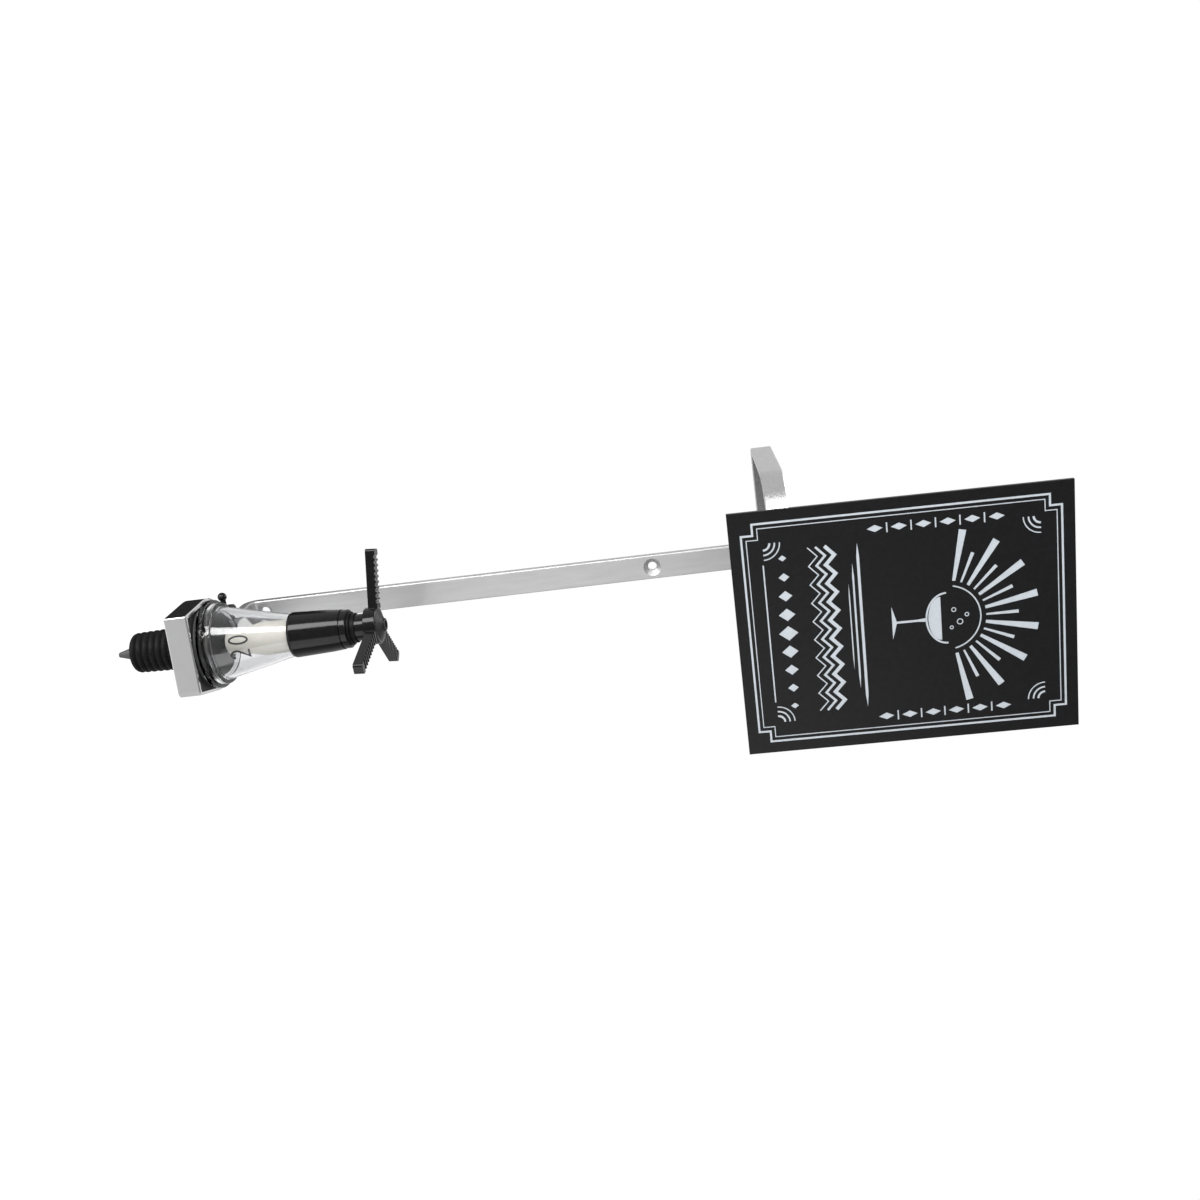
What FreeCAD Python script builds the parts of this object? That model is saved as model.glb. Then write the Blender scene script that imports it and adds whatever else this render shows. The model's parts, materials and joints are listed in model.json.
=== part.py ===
"""Wall-hung drink dispenser: a bent metal bracket, a bottle hoop, a sign and a push-up spirit measure.

The wall is the plane Y = 0 and the viewer is at -Y. +Z runs up the bracket. The origin is midway between
the two wall screws. All lengths are millimetres.
"""
import FreeCAD, Part
import math
import os

V = FreeCAD.Vector

# Lengths below this count as none, and cutters run past a face by the other
TINY = 1e-6
CUT_PAST = 1.0

# Back bar: one flat strip with three bends
BAR_WIDTH = 13.5
BAR_THICK = 5.0
BEND_INNER_R = 3.0
EDGE_CHAMFER = 0.5
SCREW_PITCH = 222.0
SCREW_HOLE_R = 2.5
SCREW_SINK_R = 5.0
ARM_BELOW_SCREW = 11.0
ARM_TIP_GAP = 1.6
TOP_ARM_ABOVE_SCREW = 102.0
TAB_HEIGHT = 45.0

# Bottle hoop: a thinner flat strip bent into a closed loop
HOOP_ABOVE_SCREW = 61.0
HOOP_STRIP_WIDTH = 11.0
HOOP_STRIP_THICK = 3.0
HOOP_WIDTH = 121.0
HOOP_DEPTH = 100.0
HOOP_REAR_R = 4.0
HOOP_FRONT_R = 28.0
RIVET_R = 1.6
RIVET_HEAD_R = 2.7
RIVET_HEAD_RISE = 1.4
RIVET_SPREAD = 3.5

# Sign and the pads that carry it
SIGN_HEIGHT = 148.0
SIGN_WIDTH = 112.5
SIGN_THICK = 2.0
SIGN_FRONT = 149.6
SIGN_LEAN = 1.2
SIGN_TURN = 0.55
SIGN_CENTRE_ABOVE_SCREW = 114.6
PAD_WIDTH = 11.0
PAD_HEIGHT = 15.0
PAD_THICK = 1.0
PAD_EDGE = 3.0
PAD_BEND_GAP = 0.5

# Where the measure hangs
AXIS_FROM_WALL = 58.0
SEAT_ABOVE_ARM = 1.7

# Chromed collar and the plastic core inside it
COLLAR_MARGIN = 1.1
COLLAR_FRONT_MARGIN = 3.1
COLLAR_FLARE = 8.4
COLLAR_HEIGHT = 11.8
COLLAR_WALL = 1.6
COLLAR_LEFT_R = 0.8
COLLAR_RIGHT_R = 3.0
COLLAR_INNER_R = 0.4
COLLAR_RIM_CHAMFER = 0.6
COLLAR_TURN = -5.7
CORE_RECESS = 1.4

# Clamp that joins the collar to the lower arm
CLAMP_HALF_WIDTH = 11.5
CLAMP_LENGTH = 13.6
CLAMP_TO_AXIS = 16.0
CHEEK_RISE = 2.2
ARM_SLOT_GAP = 0.2
CLAMP_CORNER_R = 2.5
CLAMP_CHAMFER = 0.8
ARM_SCREW_R = 1.3
ARM_SCREW_HEAD_R = 2.6
ARM_SCREW_LENGTH = 12.0
ARM_SCREWS_FROM_TIP = (3.2, 8.8)
COLLAR_SCREW_R = 1.5
COLLAR_SCREW_HEAD_R = 2.9
COLLAR_SCREW_HEAD_H = 2.4
COLLAR_SCREW_SPREAD = 7.0
COLLAR_SCREW_SINK = 8.0
COLLAR_SCREW_BITE = 8.0
SCREW_CLEARANCE = 0.2
PEG_BALL_R = 2.4
PEG_SHANK_R = 1.5
PEG_OUT = 18.5
PEG_BEHIND_COLLAR = 1.6
PEG_ABOVE_ARM = 0.5
PEG_SINK = 3.0

# Stopper and the tube through it
STOPPER_CREST_R = 10.75
STOPPER_TAPER = 0.1
STOPPER_BASE_R = 11.4
STOPPER_BASE_H = 3.0
RIB_PITCH = 3.55
RIB_RISE = 1.0
RIB_COUNT = 6
NOSE_LENGTH = 8.7
NOSE_FLAT = 1.0
NOSE_BULGE_OUT = 0.72
NOSE_BULGE_UP = 0.31
INLET_R = 3.1
INLET_BORE_R = 1.7
INLET_TIP_R = 1.3
INLET_TIP_LENGTH = 6.3
INLET_TIP_HOLE_R = 0.7
INLET_TIP_HOLE_DEPTH = 1.5
INLET_SEAT_BELOW_CORE = 0.9

# Clear measuring chamber
FLANGE_R = 23.3
FLANGE_STEP = 1.9
FLANGE_LOWER_H = 2.8
FLANGE_UPPER_H = 3.6
FLANGE_LOWER_ROUND = 0.6
FLANGE_UPPER_ROUND = 0.8
CONE_BELOW_FLANGE = 3.9
CONE_NARROW_R = 10.65
CONE_LENGTH = 38.5
CHAMBER_WALL = 1.9
SOCKET_BELOW_FLANGE = 4.7
SOCKET_LEDGE_DROP = 2.5
NECK_R = 8.6
NECK_LENGTH = 4.7
NECK_SHOULDER = 2.0
CONE_FLOOR_THICK = 3.5
GASKET_FIT = 0.3

# Inner parts of the chamber
STEM_R = 3.1
STEM_FOOT_BELOW_SOCKET = 2.6
STEM_FOOT_H = 6.4
STEM_LENGTH = 11.0
STEM_PORT_R = 1.0
TUBE_R = 6.0
TUBE_WALL = 1.0
TUBE_CAP = 1.5
TUBE_ROUND = 0.5
TUBE_WINDOW_WIDTH = 3.5
TUBE_WINDOW_HEIGHT = 5.0
TUBE_WINDOW_ABOVE_NECK = 6.0
VANE_PEAK_R = 12.8
VANE_SHOULDER_R = 10.2
VANE_THICK = 1.5
VANE_FOOT_FROM_CAP = 6.0
VANE_LENGTH = 9.4
VANE_PEAK_SHARE = 0.52
VANE_SHOULDER_SHARE = 0.12
VANE_SHOULDER_ROUND = 2.5
VANE_PEAK_ROUND = 0.8

# Black valve body below the chamber
BODY_LAP = 2.2
BODY_WIDE_R = 12.0
BODY_SHOULDER_R = 11.1
BODY_NARROW_R = 10.5
BODY_LENGTH = 26.7
BODY_LIP = 0.4
BODY_BEAD_DROP = 1.2
BODY_SHOULDER_DROP = 6.0
BODY_BEAD_ROUND = 0.8
BODY_SHOULDER_ROUND = 8.0
OUTLET_WEB = 1.5
OUTLET_SEAT_WIDTH = 0.6
OUTLET_POCKET = 1.5
CAVITY_GAP = 0.55
CAP_R = 10.2
CAP_HEIGHT = 3.7
CAP_GROOVE = 0.5
CAP_ROUND = 0.6
SEAL_R = 8.9
SEAL_HEIGHT = 1.4
SEAL_ROUND = 0.4
WIPER_GAP = 0.35
WIPER_THICK = 0.4
WIPER_HEIGHT = 2.2

# Plunger: spindle, sleeve, seals and spring
TRAVEL = 7.0
RUNNING_GAP = 0.06
SPINDLE_R = 2.2
SPINDLE_COLLAR_R = 3.4
SPINDLE_COLLAR_H = 1.5
SPINDLE_ROUND = 0.3
INLET_SEAL_R = 2.0
INLET_SEAL_H = 1.4
SEAT_GAP = 0.1
OUTLET_SEAL_GAP = 0.6
OUTLET_SEAL_H = 1.8
SLEEVE_R = 7.05
SLEEVE_WALL = 1.55
SLEEVE_WALL_H = 1.6
SLEEVE_STEP = 0.65
FLOW_HOLE_R = 0.8
FLOW_HOLE_INSET = 1.1
FLOW_HOLE_COUNT = 6
NUT_R = 3.1
NUT_HEIGHT = 2.0
SPRING_INSET = 1.25
SPRING_WIRE_R = 0.4
SPRING_TURNS = 7
SPRING_CLOSED_TURNS = 1
SPRING_END_GAP = 0.5
SPRING_LENGTH = 15.5

# Star lever
HUB_WALL = 1.5
HUB_HEIGHT = 6.6
HUB_REAR_SINK = 3.0
HUB_REAR_GAP = 0.5
HUB_FRONT_SINK = 1.7
HUB_REAR_ROUND = 0.5
HUB_FRONT_ROUND = 0.8
HUB_FROM_WIPER = 5.4
ARM_COUNT = 3
STAR_TURN = 14.0
STAR_LEAN = 4.0
STAR_ARM_R = 40.0
STAR_ARM_WIDTH = 6.0
STAR_ARM_THICK = 5.0
STAR_ARM_ROOT = 0.5
STAR_TIP_R = 1.5
GRIP_PITCH = 2.9
GRIP_DEPTH = 0.7
GRIP_START_R = 12.5
GRIP_SHARE = 0.8
CLIP_WIDTH = 1.3
CLIP_HEIGHT = 0.9
CLIP_GAP = 0.15
SPOUT_MARGIN = 0.5
SPOUT_HOLE_R = 2.0
SPOUT_TIP_R = 3.4
SPOUT_RISE = 3.2
SPOUT_TIP_HEIGHT = 0.8
SPOUT_WALL = 1.2
SPOUT_ROUND = 0.4

# Radii that follow from the sizes above
FLANGE_STEP_R = FLANGE_R - FLANGE_STEP
CONE_WIDE_R = FLANGE_R - CONE_BELOW_FLANGE
CONE_SLOPE = (CONE_WIDE_R - CONE_NARROW_R) / CONE_LENGTH
SOCKET_R = FLANGE_R - SOCKET_BELOW_FLANGE
COLLAR_ROUND_R = FLANGE_R + COLLAR_MARGIN
COLLAR_FRONT = COLLAR_ROUND_R + COLLAR_FRONT_MARGIN
STEM_BORE_R = SPINDLE_R + RUNNING_GAP
STEM_FOOT_R = SOCKET_R - STEM_FOOT_BELOW_SOCKET
GASKET_IN_R = STEM_FOOT_R + GASKET_FIT
GASKET_OUT_R = COLLAR_ROUND_R - COLLAR_WALL - GASKET_FIT
TUBE_BORE_R = TUBE_R - TUBE_WALL
OUTLET_SEAL_R = TUBE_BORE_R - OUTLET_SEAL_GAP
OUTLET_BORE_R = OUTLET_SEAL_R - OUTLET_SEAT_WIDTH
CAVITY_R = SLEEVE_R + CAVITY_GAP
SLEEVE_BORE_R = SLEEVE_R - SLEEVE_WALL
SLEEVE_STEP_R = SLEEVE_R - SLEEVE_STEP
FLOW_HOLE_CIRCLE_R = SLEEVE_BORE_R - FLOW_HOLE_INSET
SPRING_MEAN_R = SLEEVE_R - SPRING_INSET
WIPER_BORE_R = SLEEVE_R + WIPER_GAP
WIPER_R = WIPER_BORE_R + WIPER_THICK
HUB_REAR_R = WIPER_R + HUB_REAR_GAP
HUB_R = HUB_REAR_R + HUB_WALL
CLIP_R = SLEEVE_STEP_R + CLIP_WIDTH
SPOUT_R = CLIP_R + SPOUT_MARGIN

# Distances from the wall that follow from the sizes above
ARM_REACH = AXIS_FROM_WALL - COLLAR_ROUND_R - ARM_TIP_GAP
CLAMP_BACK = AXIS_FROM_WALL - COLLAR_ROUND_R - CLAMP_LENGTH
CLAMP_FRONT = AXIS_FROM_WALL - CLAMP_TO_AXIS
PEG_FROM_WALL = AXIS_FROM_WALL - COLLAR_ROUND_R - PEG_BEHIND_COLLAR

# Heights worked out from the sizes above
UPPER_SCREW_Z = SCREW_PITCH / 2
LOWER_SCREW_Z = -SCREW_PITCH / 2
ARM_BOTTOM_Z = LOWER_SCREW_Z - ARM_BELOW_SCREW
ARM_TOP_Z = ARM_BOTTOM_Z + BAR_THICK
TOP_ARM_Z = UPPER_SCREW_Z + TOP_ARM_ABOVE_SCREW
HOOP_Z = UPPER_SCREW_Z + HOOP_ABOVE_SCREW
SIGN_CENTRE_Z = UPPER_SCREW_Z + SIGN_CENTRE_ABOVE_SCREW
SEAT_Z = ARM_BOTTOM_Z + SEAT_ABOVE_ARM
COLLAR_Z = SEAT_Z - COLLAR_HEIGHT
CORE_TOP_Z = SEAT_Z - CORE_RECESS
FLANGE_TOP_Z = SEAT_Z + FLANGE_LOWER_H + FLANGE_UPPER_H
CONE_END_Z = FLANGE_TOP_Z + CONE_LENGTH
NECK_END_Z = CONE_END_Z + NECK_LENGTH
TUBE_END_Z = NECK_END_Z - NECK_SHOULDER
STEM_FOOT_Z = CORE_TOP_Z + STEM_FOOT_H
STEM_END_Z = CORE_TOP_Z + STEM_LENGTH
BODY_Z = CONE_END_Z - BODY_LAP
BODY_END_Z = BODY_Z + BODY_LENGTH
OUTLET_SEAT_Z = NECK_END_Z + OUTLET_POCKET
SPRING_Z = OUTLET_SEAT_Z + OUTLET_WEB
SLEEVE_Z = SPRING_Z + SPRING_LENGTH
CAP_END_Z = BODY_END_Z + CAP_HEIGHT
SEAL_END_Z = CAP_END_Z + SEAL_HEIGHT
WIPER_END_Z = SEAL_END_Z + WIPER_HEIGHT
HUB_Z = WIPER_END_Z + HUB_FROM_WIPER
HUB_END_Z = HUB_Z + HUB_HEIGHT
HUB_FLOOR_Z = HUB_Z + HUB_REAR_SINK
HUB_FACE_Z = HUB_END_Z - HUB_FRONT_SINK
CLIP_Z = HUB_FACE_Z + CLIP_GAP
CLIP_END_Z = CLIP_Z + CLIP_HEIGHT
INLET_SEAT_Z = CORE_TOP_Z - INLET_SEAT_BELOW_CORE
SPINDLE_TIP_Z = INLET_SEAT_Z + SEAT_GAP + TRAVEL
PEG_Z = ARM_BOTTOM_Z + PEG_ABOVE_ARM
STOPPER_BASE_Z = COLLAR_Z - STOPPER_BASE_H
RIB_START_Z = STOPPER_BASE_Z - RIB_PITCH * RIB_COUNT
NOSE_TIP_Z = RIB_START_Z - NOSE_LENGTH


def rounded_wire(corners, place):
    """Closed wire through (u, v, radius) corners, each rounded with a tangent arc of its own radius."""
    edges = []
    starts, ends, middles = [], [], []
    count = len(corners)
    for i in range(count):
        u, v, radius = corners[i]
        before, after = corners[i - 1], corners[(i + 1) % count]
        back = V(before[0] - u, before[1] - v, 0).normalize()
        ahead = V(after[0] - u, after[1] - v, 0).normalize()
        half = back.getAngle(ahead) / 2
        corner = V(u, v, 0)
        starts.append(corner + back * (radius / math.tan(half)))
        ends.append(corner + ahead * (radius / math.tan(half)))
        inward = (back + ahead).normalize()
        middles.append(corner + inward * (radius / math.sin(half) - radius))
    for i in range(count):
        if corners[i][2] > 0:
            points = [place(p.x, p.y) for p in (starts[i], middles[i], ends[i])]
            edges.append(Part.Arc(*points).toShape())
        here, there = ends[i], starts[(i + 1) % count]
        if (there - here).Length > TINY:
            edges.append(Part.LineSegment(place(here.x, here.y), place(there.x, there.y)).toShape())
    return Part.Wire(edges)


def on_axis(shape):
    """Move a shape made about the Z axis onto the axis of the measure."""
    return shape.translated(V(0, -AXIS_FROM_WALL, 0))


def turned(points):
    """Solid of revolution about the measure's axis from (radius, z) corners; a third value rounds one."""
    corners = [(p[0], p[1], p[2] if len(p) > 2 else 0) for p in points]
    face = Part.Face(rounded_wire(corners, lambda r, z: V(r, 0, z)))
    return on_axis(face.revolve(V(0, 0, 0), V(0, 0, 1), 360))


def ring(outer_r, inner_r, low, high):
    """Plain ring about the measure's axis."""
    return turned([(inner_r, low), (outer_r, low), (outer_r, high), (inner_r, high)])


def rod(radius, start, direction, length):
    """Cylinder from a start point along a direction."""
    return Part.makeCylinder(radius, length, start, direction)


def countersunk(radius, head_r, start, direction, length):
    """Cutter or screw with a 90 degree head whose rim lies at the start point."""
    head = Part.makeCone(head_r, radius, head_r - radius, start, direction)
    return head.fuse(rod(radius, start, direction, length)).removeSplitter()


def chamfered(solid, size):
    """Break every edge of a prism by the same small amount."""
    return solid.makeChamfer(size, solid.Edges)


def wall_screw_cutter(z):
    """Countersunk hole through the bar for one wall screw."""
    return countersunk(SCREW_HOLE_R, SCREW_SINK_R, V(0, -BAR_THICK, z), V(0, 1, 0), BAR_THICK + CUT_PAST)


def rivet_places():
    """Centres of the two rivets on the bar's front face."""
    z = HOOP_Z + HOOP_STRIP_WIDTH / 2
    return [V(side * RIVET_SPREAD, -BAR_THICK, z) for side in (-1, 1)]


def leaned(shape):
    """Lean a shape made upright with the sign, top toward the viewer, about the sign's centre."""
    shape.rotate(V(0, -SIGN_FRONT, SIGN_CENTRE_Z), V(1, 0, 0), SIGN_LEAN)
    return shape


def behind_sign(depth, z):
    """The y of a plane that leans with the sign, a depth behind its front, at a height."""
    lean = math.radians(SIGN_LEAN)
    return -SIGN_FRONT + depth / math.cos(lean) - (z - SIGN_CENTRE_Z) * math.tan(lean)


def make_back_bar():
    """Upright bar with the lower arm, the upper arm and the sign's tab, all one bent strip."""
    outer_r = BEND_INNER_R + BAR_THICK
    tab_front = SIGN_THICK + PAD_THICK
    tab_back = tab_front + BAR_THICK
    top_z = TOP_ARM_Z + BAR_THICK
    tab_z = TOP_ARM_Z + TAB_HEIGHT
    corners = [
        (-ARM_REACH, ARM_BOTTOM_Z, 0),
        (0, ARM_BOTTOM_Z, outer_r),
        (0, top_z, outer_r),
        (behind_sign(tab_back, top_z), top_z, BEND_INNER_R),
        (behind_sign(tab_back, tab_z), tab_z, 0),
        (behind_sign(tab_front, tab_z), tab_z, 0),
        (behind_sign(tab_front, TOP_ARM_Z), TOP_ARM_Z, outer_r),
        (-BAR_THICK, TOP_ARM_Z, BEND_INNER_R),
        (-BAR_THICK, ARM_TOP_Z, BEND_INNER_R),
        (-ARM_REACH, ARM_TOP_Z, 0),
    ]
    wire = rounded_wire(corners, lambda y, z: V(-BAR_WIDTH / 2, y, z))
    bar = chamfered(Part.Face(wire).extrude(V(BAR_WIDTH, 0, 0)), EDGE_CHAMFER)
    for z in (LOWER_SCREW_Z, UPPER_SCREW_Z):
        bar = bar.cut(wall_screw_cutter(z))
    for place in rivet_places():
        bar = bar.cut(rod(RIVET_R, place, V(0, 1, 0), BAR_THICK))
    for screw in make_arm_screw_solids():
        bar = bar.cut(screw)
    return bar


def make_bottle_hoop():
    """Closed loop of strip with tight bends at the bar and wide ones at the front."""
    half, back, front = HOOP_WIDTH / 2, -BAR_THICK, -BAR_THICK - HOOP_DEPTH
    wall = HOOP_STRIP_THICK

    def outline(inset):
        rear_r, front_r = HOOP_REAR_R - inset, HOOP_FRONT_R - inset
        corners = [
            (-half + inset, back - inset, rear_r),
            (half - inset, back - inset, rear_r),
            (half - inset, front + inset, front_r),
            (-half + inset, front + inset, front_r),
        ]
        wire = rounded_wire(corners, lambda x, y: V(x, y, HOOP_Z))
        return Part.Face(wire).extrude(V(0, 0, HOOP_STRIP_WIDTH))

    hoop = chamfered(outline(0).cut(outline(wall)), EDGE_CHAMFER)
    for place in rivet_places():
        hoop = hoop.cut(rod(RIVET_R, place, V(0, -1, 0), wall))
    return hoop


def make_rivets():
    """Two domed rivets through the hoop and the bar, flush at the back."""
    rivets = []
    for place in rivet_places():
        face = place + V(0, -HOOP_STRIP_THICK, 0)
        shank = rod(RIVET_R, face, V(0, 1, 0), HOOP_STRIP_THICK + BAR_THICK)
        dome_r = (RIVET_HEAD_R ** 2 + RIVET_HEAD_RISE ** 2) / (2 * RIVET_HEAD_RISE)
        ball = Part.makeSphere(dome_r, face + V(0, dome_r - RIVET_HEAD_RISE, 0))
        slab = rod(RIVET_HEAD_R, face, V(0, -1, 0), RIVET_HEAD_RISE)
        rivets.append(shank.fuse(ball.common(slab)).removeSplitter())
    return Part.makeCompound(rivets)


def make_sign_plate():
    """Flat plate that faces the viewer in front of the hoop, hung a little out of square."""
    corner = V(-SIGN_WIDTH / 2, -SIGN_FRONT, SIGN_CENTRE_Z - SIGN_HEIGHT / 2)
    plate = Part.makeBox(SIGN_WIDTH, SIGN_THICK, SIGN_HEIGHT, corner)
    plate.rotate(V(0, -SIGN_FRONT, SIGN_CENTRE_Z), V(0, 1, 0), SIGN_TURN)
    return leaned(plate)


def make_sign_pads():
    """Two adhesive pads between the bar's tab and the sign."""
    straight = TOP_ARM_Z + BEND_INNER_R + BAR_THICK + PAD_BEND_GAP
    tab_top = TOP_ARM_Z + TAB_HEIGHT
    back = -(SIGN_FRONT - SIGN_THICK)
    pads = []
    for low in (straight, tab_top - PAD_EDGE - PAD_HEIGHT):
        pads.append(Part.makeBox(PAD_WIDTH, PAD_THICK, PAD_HEIGHT, V(-PAD_WIDTH / 2, back, low)))
    return leaned(Part.makeCompound(pads))


def collar_outline(inset, low, height):
    """Flat-fronted prism with flared sides and a round back, all shrunk by an inset."""
    flare = math.radians(COLLAR_FLARE)
    round_r, front = COLLAR_ROUND_R - inset, COLLAR_FRONT - inset
    front_half = (round_r - front * math.sin(flare)) / math.cos(flare)
    back_half = (round_r + round_r * math.sin(flare)) / math.cos(flare)
    left_r, right_r = max(COLLAR_LEFT_R - inset, COLLAR_INNER_R), COLLAR_RIGHT_R - inset
    corners = [(-front_half, -front, left_r), (front_half, -front, right_r), (back_half, round_r, round_r),
               (-back_half, round_r, round_r)]
    wire = rounded_wire(corners, lambda x, y: V(x, y, low))
    prism = Part.Face(wire).extrude(V(0, 0, height))
    prism.rotate(V(0, 0, 0), V(0, 0, 1), COLLAR_TURN)
    return on_axis(prism)


def collar_screw_places():
    """Where the collar's screws start, on the floor of their sinks in the clamp."""
    z = COLLAR_Z + COLLAR_HEIGHT / 2
    y = -CLAMP_BACK - COLLAR_SCREW_SINK
    return [V(side * COLLAR_SCREW_SPREAD, y, z) for side in (-1, 1)]


def collar_screw_length():
    """From the sink's floor through the clamp and the collar's back into the core."""
    collar_back = -AXIS_FROM_WALL + math.sqrt(COLLAR_ROUND_R ** 2 - COLLAR_SCREW_SPREAD ** 2)
    return -CLAMP_BACK - COLLAR_SCREW_SINK - collar_back + COLLAR_SCREW_BITE


def make_collar_shell():
    """Chromed shell, open above, with a floor that the stopper passes through."""
    shell = collar_outline(0, COLLAR_Z, COLLAR_HEIGHT)
    rims = [e for e in shell.Edges if e.BoundBox.ZLength < TINY]
    shell = shell.makeChamfer(COLLAR_RIM_CHAMFER, rims)
    shell = shell.cut(collar_outline(COLLAR_WALL, COLLAR_Z + COLLAR_WALL, COLLAR_HEIGHT))
    shell = shell.cut(ring(STOPPER_BASE_R + SCREW_CLEARANCE, 0, COLLAR_Z - CUT_PAST, COLLAR_Z + COLLAR_WALL))
    for place in collar_screw_places():
        shell = shell.cut(rod(COLLAR_SCREW_R + SCREW_CLEARANCE, place, V(0, -1, 0), collar_screw_length()))
    return shell


def make_collar_core():
    """Black plastic core that fills the shell and holds the inlet tube, the stem and the screws."""
    low = COLLAR_Z + COLLAR_WALL
    core = collar_outline(COLLAR_WALL, low, CORE_TOP_Z - low)
    core = core.cut(ring(INLET_R, 0, low - CUT_PAST, INLET_SEAT_Z))
    core = core.cut(ring(STEM_R, 0, INLET_SEAT_Z, CORE_TOP_Z + CUT_PAST))
    for place in collar_screw_places():
        core = core.cut(rod(COLLAR_SCREW_R, place, V(0, -1, 0), collar_screw_length()))
    return core


def make_clamp_block():
    """Moulded saddle under the lower arm, with a round seat for the collar and a cheek each side."""
    high = ARM_BOTTOM_Z + CHEEK_RISE
    half, round_r = CLAMP_HALF_WIDTH, CLAMP_CORNER_R
    corners = [(-half, -CLAMP_FRONT, round_r), (half, -CLAMP_FRONT, round_r), (half, -CLAMP_BACK, round_r),
               (-half, -CLAMP_BACK, round_r)]
    face = Part.Face(rounded_wire(corners, lambda x, y: V(x, y, COLLAR_Z)))
    block = face.extrude(V(0, 0, high - COLLAR_Z))
    rims = [e for e in block.Edges if e.BoundBox.ZLength < TINY]
    block = block.makeChamfer(CLAMP_CHAMFER, rims)
    slot_half = BAR_WIDTH / 2 + ARM_SLOT_GAP
    slot_corner = V(-slot_half, -CLAMP_FRONT, ARM_BOTTOM_Z)
    block = block.cut(Part.makeBox(2 * slot_half, CLAMP_FRONT, 2 * CHEEK_RISE, slot_corner))
    block = block.cut(ring(COLLAR_ROUND_R, 0, COLLAR_Z - CUT_PAST, SEAT_Z))
    block = block.cut(ring(COLLAR_ROUND_R, 0, SEAT_Z - CUT_PAST, high + CUT_PAST))
    for screw in make_arm_screw_solids():
        block = block.cut(screw)
    for place in collar_screw_places():
        sink = COLLAR_SCREW_HEAD_R + SCREW_CLEARANCE
        block = block.cut(rod(sink, place, V(0, 1, 0), COLLAR_SCREW_SINK + CUT_PAST))
        block = block.cut(rod(COLLAR_SCREW_R + SCREW_CLEARANCE, place, V(0, -1, 0), collar_screw_length()))
    return block.cut(make_peg_shank())


def make_arm_screw_solids():
    """Countersunk screws down through the lower arm into the clamp."""
    down = V(0, 0, -1)
    starts = [V(0, -ARM_REACH + back, ARM_TOP_Z) for back in ARM_SCREWS_FROM_TIP]
    return [countersunk(ARM_SCREW_R, ARM_SCREW_HEAD_R, p, down, ARM_SCREW_LENGTH) for p in starts]


def make_collar_screws():
    """Two cheese-head screws that pull the collar into the clamp's seat."""
    screws = []
    for place in collar_screw_places():
        head = rod(COLLAR_SCREW_HEAD_R, place, V(0, 1, 0), COLLAR_SCREW_HEAD_H)
        shank = rod(COLLAR_SCREW_R, place, V(0, -1, 0), collar_screw_length())
        screws.append(head.fuse(shank))
    return Part.makeCompound(screws)


def make_peg_shank():
    """Shank of the ball peg, let into the clamp's cheek."""
    start = V(-PEG_OUT, -PEG_FROM_WALL, PEG_Z)
    return rod(PEG_SHANK_R, start, V(1, 0, 0), PEG_OUT - CLAMP_HALF_WIDTH + PEG_SINK)


def make_ball_peg():
    """Small ball-headed peg at the side of the clamp, turned about its own axis."""
    ball_r, shank_r = PEG_BALL_R, PEG_SHANK_R
    shoulder = math.sqrt(ball_r ** 2 - shank_r ** 2)
    tip = PEG_OUT - CLAMP_HALF_WIDTH + PEG_SINK
    edges = [
        Part.Arc(V(-ball_r, 0, 0), V(0, ball_r, 0), V(shoulder, shank_r, 0)).toShape(),
        Part.LineSegment(V(shoulder, shank_r, 0), V(tip, shank_r, 0)).toShape(),
        Part.LineSegment(V(tip, shank_r, 0), V(tip, 0, 0)).toShape(),
        Part.LineSegment(V(tip, 0, 0), V(-ball_r, 0, 0)).toShape(),
    ]
    peg = Part.Face(Part.Wire(edges)).revolve(V(0, 0, 0), V(1, 0, 0), 360)
    return peg.translated(V(-PEG_OUT, -PEG_FROM_WALL, PEG_Z))


def make_stopper():
    """Ribbed rubber stopper, slightly tapered, with a rounded nose and a base flange."""
    base_top = COLLAR_Z + COLLAR_WALL
    nose_r = INLET_R + NOSE_FLAT
    ledge_z = RIB_START_Z - RIB_PITCH / 2

    def line(a, b):
        return Part.LineSegment(V(a[0], 0, a[1]), V(b[0], 0, b[1])).toShape()

    def arc(a, b, c):
        return Part.Arc(V(a[0], 0, a[1]), V(b[0], 0, b[1]), V(c[0], 0, c[1])).toShape()

    def valley(i):
        return STOPPER_CREST_R + i * STOPPER_TAPER - RIB_RISE

    bulge_r = nose_r + (STOPPER_CREST_R - nose_r) * NOSE_BULGE_OUT
    nose_middle = (bulge_r, NOSE_TIP_Z + (ledge_z - NOSE_TIP_Z) * NOSE_BULGE_UP)
    edges = [
        line((INLET_R, base_top), (INLET_R, NOSE_TIP_Z)),
        line((INLET_R, NOSE_TIP_Z), (nose_r, NOSE_TIP_Z)),
        arc((nose_r, NOSE_TIP_Z), nose_middle, (STOPPER_CREST_R, ledge_z)),
        line((STOPPER_CREST_R, ledge_z), (valley(0), RIB_START_Z)),
    ]
    for i in range(RIB_COUNT):
        low = RIB_START_Z + i * RIB_PITCH
        crest = valley(i) + RIB_RISE
        edges.append(arc((valley(i), low), (crest, low + RIB_PITCH / 2), (valley(i + 1), low + RIB_PITCH)))
    edges.append(line((valley(RIB_COUNT), STOPPER_BASE_Z), (STOPPER_BASE_R, STOPPER_BASE_Z)))
    edges.append(line((STOPPER_BASE_R, STOPPER_BASE_Z), (STOPPER_BASE_R, base_top)))
    edges.append(line((STOPPER_BASE_R, base_top), (INLET_R, base_top)))
    return on_axis(Part.Face(Part.Wire(edges)).revolve(V(0, 0, 0), V(0, 0, 1), 360))


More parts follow.
